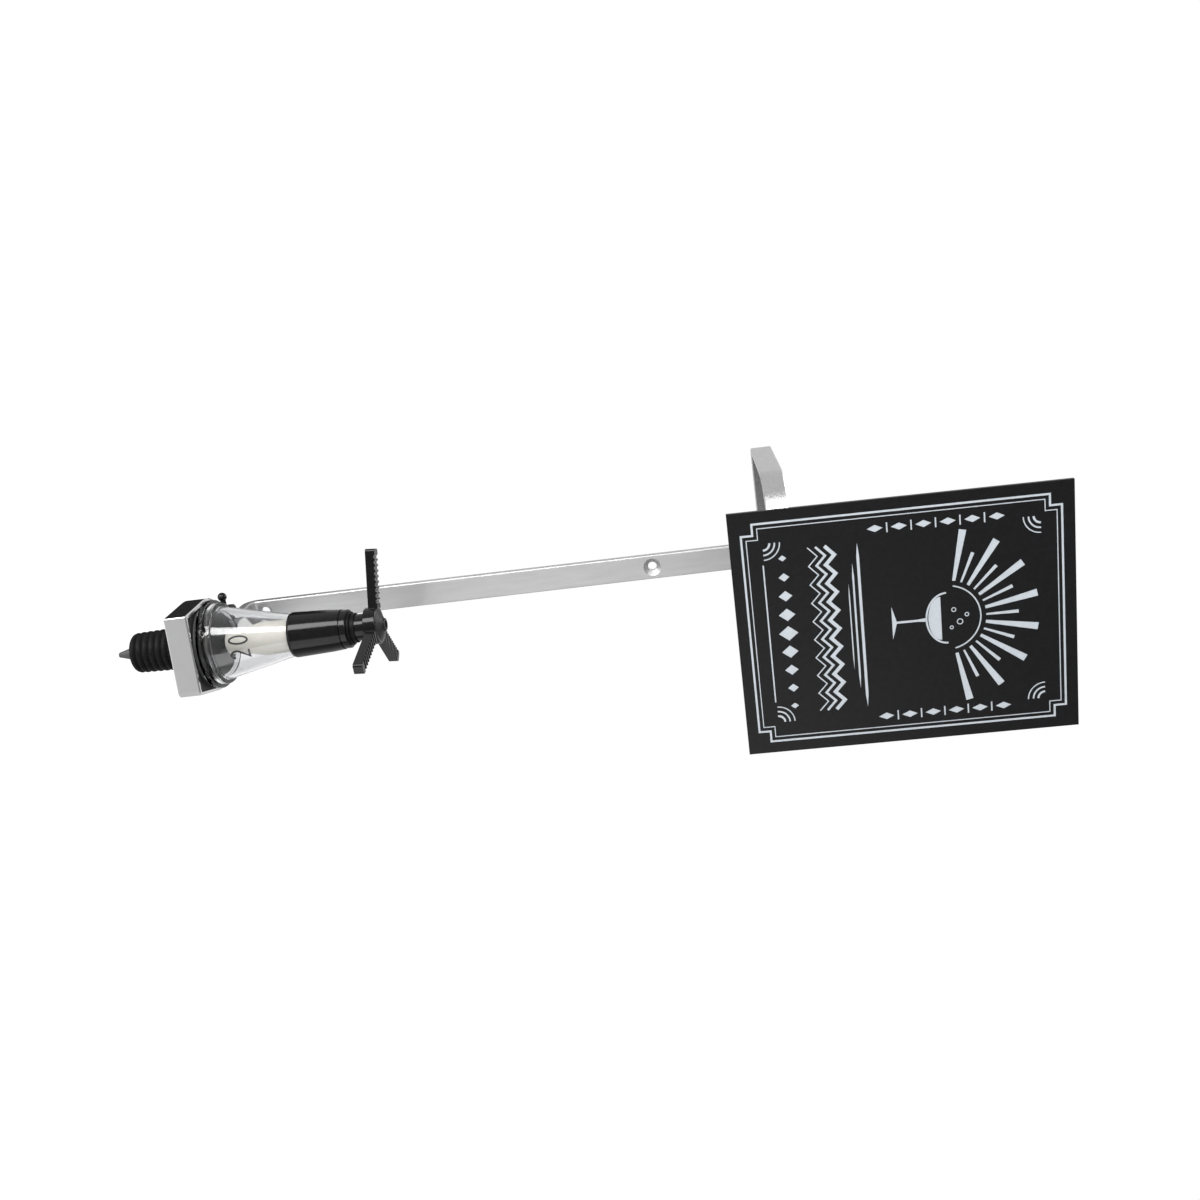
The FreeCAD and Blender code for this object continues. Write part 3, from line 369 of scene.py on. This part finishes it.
def surface(name, dark, light, rough, metal=0.0, gloss=0.5, wander=0.5, grain=6.0, stretch=(1, 1, 1),
            relief=0.0):
    """Material whose colour wanders slowly, and whose roughness and relief follow a finer grain.

    wander and grain are features to the millimetre, and relief is the grain's depth in millimetres.
    """
    made, nodes, links = material(name)
    shader = shader_of(nodes)
    place = texture_place(nodes, links, stretch)
    slow = noise(nodes, links, place, wander)
    links.new(shade(nodes, links, slow, dark, light), shader.inputs["Base Color"])
    fine = noise(nodes, links, place, grain)
    links.new(remap(nodes, links, fine, *rough), shader.inputs["Roughness"])
    if relief:
        links.new(bump(nodes, links, fine, relief), shader.inputs["Normal"])
    shader.inputs["Metallic"].default_value = metal
    shader.inputs["Specular IOR Level"].default_value = gloss
    return made


def make_clear_plastic():
    """Clear moulded plastic with faint unevenness, and a grey base colour that is painted shade."""
    made, nodes, links = material("clear_plastic")
    shader = shader_of(nodes)
    place = texture_place(nodes, links)
    soft = noise(nodes, links, place, CLEAR_PER_MM, CLEAR_DETAIL)
    links.new(remap(nodes, links, soft, *CLEAR_ROUGH), shader.inputs["Roughness"])
    links.new(bump(nodes, links, soft, CLEAR_RELIEF), shader.inputs["Normal"])
    # The grey base colour is painted shade, standing in for the darker surroundings that the clear walls
    # would show.
    shader.inputs["Base Color"].default_value = CLEAR_SHADE_GREY
    shader.inputs["Transmission Weight"].default_value = 1.0
    shader.inputs["IOR"].default_value = CLEAR_REFRACTION
    return made


def make_materials():
    """One material for each slot of the record, and those of the print, the mark and the gasket."""
    made = {name: surface(name, **look) for name, look in LOOKS.items()}
    made["clear_plastic"] = make_clear_plastic()
    return made


def dress_nodes(materials):
    """Give each CAD node its slot's material, and the gasket a paler one that shows its rings."""
    for part in frame["record"]["subparts"]:
        piece = frame["nodes"][part["node"]]
        piece.data.materials.clear()
        name = "gasket_grey" if part["node"] == "chamber_gasket" else part["material_slot"]
        piece.data.materials.append(materials[name])


def new_mesh(name, build):
    """Object from a function that fills a bmesh in millimetres."""
    mesh = bpy.data.meshes.new(name)
    shape = bmesh.new()
    build(shape)
    bmesh.ops.scale(shape, vec=(MM, MM, MM), verts=shape.verts)
    bmesh.ops.recalc_face_normals(shape, faces=shape.faces)
    shape.to_mesh(mesh)
    shape.free()
    made = bpy.data.objects.new(name, mesh)
    bpy.context.collection.objects.link(made)
    return made


def square(shape, half, place):
    """Flat square of a half side about the origin, moved by a matrix."""
    corners = [(-half, -half, 0), (half, -half, 0), (half, half, 0), (-half, half, 0)]
    shape.faces.new([shape.verts.new(corner) for corner in corners])
    shape.transform(place)


def revolved(shape, profile, axis_y):
    """Closed (radius, z) profile turned about the measure's axis."""
    rings = []
    for i in range(ROUND_STEPS):
        turn = 2 * math.pi * i / ROUND_STEPS
        out_x, out_y = math.cos(turn), math.sin(turn)
        rings.append([shape.verts.new((r * out_x, axis_y + r * out_y, z)) for r, z in profile])
    count = len(profile)
    for i in range(ROUND_STEPS):
        here, there = rings[i], rings[(i + 1) % ROUND_STEPS]
        for j in range(count):
            k = (j + 1) % count
            shape.faces.new([here[j], here[k], there[k], there[j]])


def smooth(piece):
    """Smooth shading that keeps the sharp edges."""
    piece.data.shade_smooth()
    piece.data.set_sharp_from_angle(angle=math.radians(SHARP_ANGLE))


def chamber_place():
    """Lowest height and axis of the chamber, in millimetres."""
    low, high = (Vector(corner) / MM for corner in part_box("measuring_chamber"))
    return low.z, (low.y + high.y) / 2


def stripe(shape, left, right, low, high, closed=False):
    """Thin flat band between two rows of (u, v) points, closed on every side."""
    rows = []
    for a, b in zip(left, right):
        rows.append([shape.verts.new((*point, z)) for point, z in ((a, low), (b, low), (b, high), (a, high))])
    count = len(rows)
    for i in range(count if closed else count - 1):
        here, there = rows[i], rows[(i + 1) % count]
        for j in range(4):
            k = (j + 1) % 4
            shape.faces.new([here[j], here[k], there[k], there[j]])
    if not closed:
        shape.faces.new(rows[0])
        shape.faces.new(rows[-1][::-1])


def printed(shape, left, right, closed=False):
    stripe(shape, left, right, -PRINT_SINK, PRINT_RISE, closed)


def beside(points, gap, closed):
    """Points moved sideways by a gap, with mitred corners."""
    count = len(points)
    moved = []
    for i in range(count):
        here = Vector(points[i])
        before = Vector(points[i - 1]) if closed or i else None
        after = Vector(points[(i + 1) % count]) if closed or i < count - 1 else None
        normals = []
        for a, b in ((before, here), (here, after)):
            if a is not None and b is not None:
                run = (b - a).normalized()
                normals.append(Vector((-run.y, run.x)))
        shift = sum(normals, Vector((0, 0)))
        mitre = shift / (1 + normals[0].dot(normals[-1])) if len(normals) == 2 else shift
        moved.append(tuple(here + mitre * gap))
    return moved


def line(shape, points, width, closed=False):
    """Printed line of one width through (u, v) points."""
    printed(shape, beside(points, width / 2, closed), beside(points, -width / 2, closed), closed)


def arc(u, v, radius, start, end, steps):
    """Points round a centre, from one angle to another in degrees."""
    turns = [math.radians(start + (end - start) * i / steps) for i in range(steps + 1)]
    return [(u + radius * math.cos(t), v + radius * math.sin(t)) for t in turns]


def diamond(shape, u, v, half_u, half_v):
    """Diamond about a point, as the band between its lower and its upper edges."""
    low = [(u - half_u + DIAMOND_BLUNT, v), (u, v - half_v), (u + half_u - DIAMOND_BLUNT, v)]
    printed(shape, low, [(u - half_u, v), (u, v + half_v), (u + half_u, v)])


def stepped_frame(inset):
    """Rectangle inside the sign's edge with a square notch at each corner."""
    right, top = SIGN_WIDTH / 2 - inset, SIGN_HEIGHT / 2 - inset
    quarter = [(right, top - FRAME_STEP), (right - FRAME_STEP, top - FRAME_STEP), (right - FRAME_STEP, top)]
    points = []
    for su, sv, order in ((1, 1, 1), (-1, 1, -1), (-1, -1, 1), (1, -1, -1)):
        points += [(su * u, sv * v) for u, v in quarter[::order]]
    return points


def print_frames(shape):
    """Double frame with stepped corners and a small fan of arcs in each."""
    for inset, width in FRAMES:
        line(shape, stepped_frame(inset), width, closed=True)
    corner_u, corner_v = SIGN_WIDTH / 2 - FAN_INSET, SIGN_HEIGHT / 2 - FAN_INSET
    for su, sv, start in ((1, 1, 180), (-1, 1, 270), (-1, -1, 0), (1, -1, 90)):
        for radius, width in FAN_ARCS:
            line(shape, arc(su * corner_u, sv * corner_v, radius, start, start + 90, FAN_STEPS), width)


def print_rays(shape):
    """Long and short rays that spread over the glass, and a ring inside them."""
    for i in range(RAYS):
        angle = RAYS_FROM + (RAYS_TO - RAYS_FROM) * i / (RAYS - 1)
        reach, half = SHORT_RAY if i % 2 else LONG_RAY
        near, far = (arc(0, GLASS_RIM_UP, radius, angle - half, angle + half, 1)
                     for radius in (RAYS_NEAR_R, reach))
        printed(shape, [near[0], far[0]], [near[1], far[1]])
    line(shape, arc(0, GLASS_RIM_UP, RAYS_RING_R, RAYS_FROM, RAYS_TO, RAYS_RING_STEPS), THIN_LINE)


def print_glass(shape):
    """Wide shallow glass with a stem and a foot, part filled, and bubbles over it."""
    half_circle = arc(0, 0, 1, 180, 360, GLASS_STEPS)
    bowl = [(GLASS_RIM_HALF * u, GLASS_RIM_UP + GLASS_DEPTH * v) for u, v in half_circle]
    line(shape, bowl, GLASS_LINE)
    drink_up = GLASS_RIM_UP - DRINK_DOWN
    deep = [(DRINK_WIDTH_SHARE * u, drink_up + DRINK_DEPTH_SHARE * (v - GLASS_RIM_UP)) for u, v in bowl[1:-1]]
    printed(shape, [(u, drink_up) for u, v in deep], deep)
    low = GLASS_RIM_UP - GLASS_DEPTH
    stem = [(GLASS_STEM_TOP_HALF, low), (GLASS_STEM_HALF, low - GLASS_STEM_TAPER),
            (GLASS_STEM_HALF, low - GLASS_STEM + GLASS_FOOT_RISE), (GLASS_FOOT_HALF, low - GLASS_STEM)]
    printed(shape, [(-u, v) for u, v in stem], stem)
    for u, v, radius in BUBBLES:
        line(shape, arc(u, GLASS_RIM_UP + v, radius, 0, BUBBLE_TURN, BUBBLE_STEPS), BUBBLE_LINE, closed=True)


def print_bands(shape):
    """Tapered bars, zigzags, a row of diamonds and a base line in the lower half."""
    for v, half, width in BARS:
        shoulder = half - BAR_POINT
        edges = ([(-half, v), (-shoulder, v + rise), (shoulder, v + rise), (half, v)]
                 for rise in (width / 2, -width / 2))
        printed(shape, *edges)
    for v, width in ZIGZAGS:
        points = [(ZIGZAG_HALF * (i / ZIGZAG_TEETH - 1), v + (ZIGZAG_RISE if i % 2 else 0))
                  for i in range(2 * ZIGZAG_TEETH + 1)]
        line(shape, points, width)
    for i in range(-ROW_EACH_SIDE, ROW_EACH_SIDE + 1):
        half = ROW_DIAMOND_HALF - ROW_DIAMOND_LOSS * abs(i)
        diamond(shape, ROW_PITCH * i, ROW_UP, half, ROW_DIAMOND_TALL * half)
    line(shape, [(-BASE_LINE_HALF, BASE_LINE_UP), (BASE_LINE_HALF, BASE_LINE_UP)], THIN_LINE)


def print_columns(shape):
    """Stack of diamonds and bars up each side."""
    for side in (-1, 1):
        u = side * COLUMN_OUT
        for i in range(COLUMN_DIAMONDS):
            v = COLUMN_FROM_UP + COLUMN_PITCH * i
            diamond(shape, u, v, *COLUMN_DIAMOND_HALVES)
            if i < COLUMN_DIAMONDS - 1:
                bar_v = v + COLUMN_PITCH / 2
                line(shape, [(u - COLUMN_BAR_HALF, bar_v), (u + COLUMN_BAR_HALF, bar_v)], THIN_LINE)


def make_sign_print(materials):
    """Silver print on the sign's face: a plain pattern of frames, rays, a glass and bands."""
    low, high = (Vector(corner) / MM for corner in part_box("sign_plate"))
    hang = Matrix.Rotation(math.radians(SIGN_LEAN), 4, "X") @ Matrix.Rotation(math.radians(SIGN_TURN), 4, "Y")
    face = Matrix.Translation((0, -SIGN_THICK / 2, 0)) @ Matrix.Rotation(math.radians(90), 4, "X")

    def build(shape):
        print_frames(shape)
        print_rays(shape)
        print_glass(shape)
        print_bands(shape)
        print_columns(shape)
        shape.transform(Matrix.Translation((low + high) / 2) @ hang @ face)

    made = new_mesh("sign_print", build)
    made.data.materials.append(materials["print_silver"])
    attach(made, "frame")


def digit_two():
    """Points of a 2 one unit wide and one unit tall about its middle."""
    bow = arc(0, 0, 1, TWO_BOW_FROM, TWO_BOW_TO, TWO_BOW_STEPS)
    return [(u / 2, TWO_BOW_UP + TWO_BOW_HALF * v) for u, v in bow] + [(-0.5, -0.5), (0.5, -0.5)]


def digit_nought():
    """Points of a 0 one unit wide and one unit tall about its middle."""
    return [(u / 2, v / 2) for u, v in arc(0, 0, 1, 0, 360, NOUGHT_STEPS)[:-1]]


def make_measure_mark(materials):
    """Number of the measure on the chamber, its top toward the stopper."""
    base_z, axis_y = chamber_place()
    digits = ((digit_two(), MARK_TWO_TURN, False), (digit_nought(), MARK_NOUGHT_TURN, True))
    stroke = MARK_STROKE / 2

    def on_cone(point, turn):
        z = base_z + MARK_UP - point[1]
        radius = CONE_FOOT_R - CONE_SLOPE * (z - base_z - CONE_FOOT_UP)
        angle = math.radians(turn) - point[0] / radius
        reach = radius + point[2] * MARK_RISE
        return Vector((reach * math.sin(angle), axis_y - reach * math.cos(angle), z))

    def build(shape):
        for digit, turn, closed in digits:
            points = [(u * (MARK_WIDTH - MARK_STROKE), v * (MARK_HEIGHT - MARK_STROKE)) for u, v in digit]
            flat = bmesh.new()
            stripe(flat, beside(points, stroke, closed), beside(points, -stroke, closed), 0, 1, closed)
            for vert in flat.verts:
                vert.co = on_cone(vert.co, turn)
            piece = bpy.data.meshes.new("digit")
            flat.to_mesh(piece)
            flat.free()
            shape.from_mesh(piece)
            bpy.data.meshes.remove(piece)

    made = new_mesh("measure_mark", build)
    made.data.materials.append(materials["mark_black"])
    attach(made, "frame")


def make_stopper_look(materials):
    """Ribbed stopper with a short blunt nose."""
    base_z, axis_y = chamber_place()
    front, top = base_z - STOPPER_FRONT_DOWN, base_z - STOPPER_TOP_DOWN
    profile = [(STOPPER_BORE_R, top), (STOPPER_BORE_R, front)]
    nose_r = STOPPER_CREST_R - STOPPER_NOSE_INSET
    for step in range(STOPPER_EDGE_STEPS + 1):
        turn = math.radians(90 * step / STOPPER_EDGE_STEPS)
        inward, upward = 1 - math.sin(turn), 1 - math.cos(turn)
        profile.append((nose_r - STOPPER_EDGE * inward, front + STOPPER_EDGE * upward))
    for i in range(STOPPER_RIBS):
        crest = STOPPER_CREST_R + i * STOPPER_TAPER
        middle = front + STOPPER_EDGE + i * STOPPER_RIB_PITCH
        for step in range(-STOPPER_RIB_STEPS, STOPPER_RIB_STEPS + 1):
            away = step / STOPPER_RIB_STEPS
            height = middle + away * STOPPER_RIB_HALF_SHARE * STOPPER_RIB_PITCH
            if i or away > 0:
                profile.append((crest - STOPPER_RIB_RISE * away * away, height))
    ledge = top - STOPPER_BASE_H
    profile += [(profile[-1][0], ledge), (STOPPER_BASE_R, ledge), (STOPPER_BASE_R, top)]
    made = new_mesh("stopper_look", lambda shape: revolved(shape, profile, axis_y))
    smooth(made)
    made.data.materials.append(materials["black_rubber"])
    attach(made, "frame")
    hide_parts("ribbed_stopper")


def make_tube_look(materials):
    """Inner tube without windows, belled toward the narrow end of the chamber."""
    base_z, axis_y = chamber_place()
    low, high, bore = base_z + TUBE_FROM_UP, base_z + TUBE_TO_UP, TUBE_R - TUBE_WALL
    cap, bell_end = low + TUBE_CAP, base_z + TUBE_BELL_TO_UP
    profile = [
        (bore, high),
        (bore, cap),
        (STEM_R, cap),
        (STEM_R, low),
        (TUBE_R - TUBE_EDGE, low),
        (TUBE_R, low + TUBE_EDGE),
        (TUBE_R, base_z + TUBE_BELL_FROM_UP),
        (TUBE_BELL_R, base_z + TUBE_BELL_WIDE_UP),
        (TUBE_BELL_R - TUBE_EDGE, bell_end),
        (TUBE_R, bell_end),
        (TUBE_R, high),
    ]
    made = new_mesh("tube_look", lambda shape: revolved(shape, profile, axis_y))
    smooth(made)
    made.data.materials.append(materials["cream_plastic"])
    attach(made, "frame")
    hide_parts("measure_tube")


def spring_rise(turn, length):
    """Height after so many turns, with one closed turn at each end."""
    open_turns = SPRING_TURNS - 2
    open_rise = (length - 2 * SPRING_CLOSED_RISE) / open_turns
    wound = min(turn, 1) + max(turn - SPRING_TURNS + 1, 0)
    return SPRING_CLOSED_RISE * wound + open_rise * min(max(turn - 1, 0), open_turns)


def make_spring_look(materials):
    """Return spring in the CAD spring's place."""
    low, high = (Vector(corner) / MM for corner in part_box("return_spring"))
    mean_r, axis_y = (high.x - low.x) / 2 - SPRING_WIRE_R, (low.y + high.y) / 2
    length = high.z - low.z - 2 * SPRING_WIRE_R
    angles = [2 * math.pi * i / SPRING_SIDES for i in range(SPRING_SIDES)]

    def build(shape):
        rings = []
        for i in range(SPRING_TURNS * SPRING_STEPS + 1):
            turn = i / SPRING_STEPS
            out = Vector((math.cos(2 * math.pi * turn), math.sin(2 * math.pi * turn), 0))
            centre = out * mean_r + Vector((0, axis_y, low.z + SPRING_WIRE_R + spring_rise(turn, length)))
            around = [out * math.cos(t) + Vector((0, 0, math.sin(t))) for t in angles]
            rings.append([shape.verts.new(centre + SPRING_WIRE_R * way) for way in around])
        for here, there in zip(rings, rings[1:]):
            for j in range(SPRING_SIDES):
                k = (j + 1) % SPRING_SIDES
                shape.faces.new([here[j], here[k], there[k], there[j]])
        shape.faces.new(rings[0])
        shape.faces.new(rings[-1][::-1])

    made = new_mesh("spring_look", build)
    smooth(made)
    made.data.materials.append(materials["stainless"])
    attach(made, "frame")
    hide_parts("return_spring")
    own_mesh(made)


def add_card():
    """Black card that gives the chrome's side its dark reflection."""
    made, nodes, _ = material("card")
    shader_of(nodes).inputs["Base Color"].default_value = (CARD_GREY, CARD_GREY, CARD_GREY, 1)
    shader_of(nodes).inputs["Roughness"].default_value = 1.0
    facing = (Vector(CARD_AIM) - Vector(CARD_AT)).to_track_quat("Z", "Y").to_matrix().to_4x4()
    place = Matrix.Translation(CARD_AT) @ facing
    card = new_mesh("card", lambda shape: square(shape, CARD_HALF, place))
    card.data.materials.append(made)
    card.visible_camera = False
    card.visible_diffuse = False
    card.visible_transmission = False
    card.visible_shadow = False


def add_camera():
    """Camera of the photograph, where the right edge of the picture is up the bracket."""
    data = bpy.data.cameras.new("camera")
    data.lens = LENS
    data.sensor_width = SENSOR
    data.shift_x = SHIFT_X
    data.shift_y = SHIFT_Y
    camera = bpy.data.objects.new("camera", data)
    eye, aim = Vector(CAMERA_AT) * MM, Vector(CAMERA_AIM) * MM
    ahead = (aim - eye).normalized()
    up = Vector((-1, 0, 0))
    up = (up - ahead * up.dot(ahead)).normalized()
    up = Matrix.Rotation(math.radians(CAMERA_ROLL), 3, ahead) @ up
    side = ahead.cross(up)
    camera.matrix_world = Matrix.Translation(eye) @ Matrix((side, up, -ahead)).transposed().to_4x4()
    bpy.context.collection.objects.link(camera)
    bpy.context.scene.camera = camera


def backdrop_material():
    """Matt and pale, with a glow for the camera, metal and glass, and still darkened by a shadow."""
    made, nodes, links = material("backdrop")
    nodes.remove(shader_of(nodes))
    out = nodes["Material Output"]
    matt = nodes.new("ShaderNodeBsdfDiffuse")
    matt.inputs["Color"].default_value = (FLOOR_GREY, FLOOR_GREY, FLOOR_GREY, 1)
    glow = nodes.new("ShaderNodeEmission")
    both = nodes.new("ShaderNodeAddShader")
    path = nodes.new("ShaderNodeLightPath")
    total = None
    for ray, strength in (("Is Camera Ray", FLOOR_GLOW), ("Is Transmission Ray", FLOOR_GLOW),
                          ("Is Glossy Ray", FLOOR_GLOSS)):
        add = nodes.new("ShaderNodeMath")
        add.operation = "MULTIPLY_ADD"
        add.inputs[1].default_value = strength
        add.inputs[2].default_value = 0.0
        links.new(path.outputs[ray], add.inputs[0])
        if total:
            links.new(total, add.inputs[2])
        total = add.outputs["Value"]
    links.new(total, glow.inputs["Strength"])
    links.new(matt.outputs["BSDF"], both.inputs[0])
    links.new(glow.outputs["Emission"], both.inputs[1])
    links.new(both.outputs["Shader"], out.inputs["Surface"])
    return made


def add_floor():
    """Pale floor below the object."""
    place = Matrix.Translation((0, 0, CAD_BOX[0][2] / MM - FLOOR_BELOW))
    floor = new_mesh("floor", lambda shape: square(shape, FLOOR_HALF, place))
    floor.data.materials.append(backdrop_material())


def add_world():
    """World that is white to the camera and glass, and that metal sees dimmer toward the viewer."""
    world = bpy.data.worlds.new("world")
    bpy.context.scene.world = world
    world.use_nodes = True
    nodes, links = world.node_tree.nodes, world.node_tree.links
    sky = nodes["Background"]
    sky.inputs["Color"].default_value = (1, 1, 1, 1)
    path = nodes.new("ShaderNodeLightPath")
    place = nodes.new("ShaderNodeTexCoord")
    split = nodes.new("ShaderNodeSeparateXYZ")
    links.new(place.outputs["Generated"], split.inputs["Vector"])
    fade = nodes.new("ShaderNodeMapRange")
    fade.inputs["From Min"].default_value = STUDIO_FADE_FROM
    fade.inputs["From Max"].default_value = STUDIO_FADE_TO
    fade.inputs["To Min"].default_value = STUDIO_DIM
    fade.inputs["To Max"].default_value = STUDIO_BRIGHT
    links.new(split.outputs["Y"], fade.inputs["Value"])
    mirror = nodes.new("ShaderNodeMix")
    mirror.inputs["A"].default_value = STUDIO_FILL
    links.new(path.outputs["Is Glossy Ray"], mirror.inputs["Factor"])
    links.new(fade.outputs["Result"], mirror.inputs["B"])
    either = nodes.new("ShaderNodeMath")
    either.operation = "MAXIMUM"
    links.new(path.outputs["Is Camera Ray"], either.inputs[0])
    links.new(path.outputs["Is Transmission Ray"], either.inputs[1])
    show = nodes.new("ShaderNodeMix")
    show.inputs["B"].default_value = 1.0
    links.new(either.outputs["Value"], show.inputs["Factor"])
    links.new(mirror.outputs["Result"], show.inputs["A"])
    links.new(show.outputs["Result"], sky.inputs["Strength"])


def add_lamp(name, place, size, power):
    """Soft rectangular lamp, placed in millimetres."""
    data = bpy.data.lights.new(name, "AREA")
    data.shape = "RECTANGLE"
    data.size, data.size_y = size[0] * MM, size[1] * MM
    data.energy = power
    lamp = bpy.data.objects.new(name, data)
    lamp.location = Vector(place) * MM
    lamp.rotation_euler = (Vector(LAMP_AIM) - Vector(place)).to_track_quat("-Z", "Y").to_euler()
    bpy.context.collection.objects.link(lamp)


materials = make_materials()
dress_nodes(materials)
make_sign_print(materials)
make_measure_mark(materials)
make_stopper_look(materials)
make_tube_look(materials)
make_spring_look(materials)
add_card()
add_camera()
add_floor()
add_world()
for lamp in LAMPS:
    add_lamp(*lamp)
bpy.context.scene.view_settings.view_transform = "Standard"
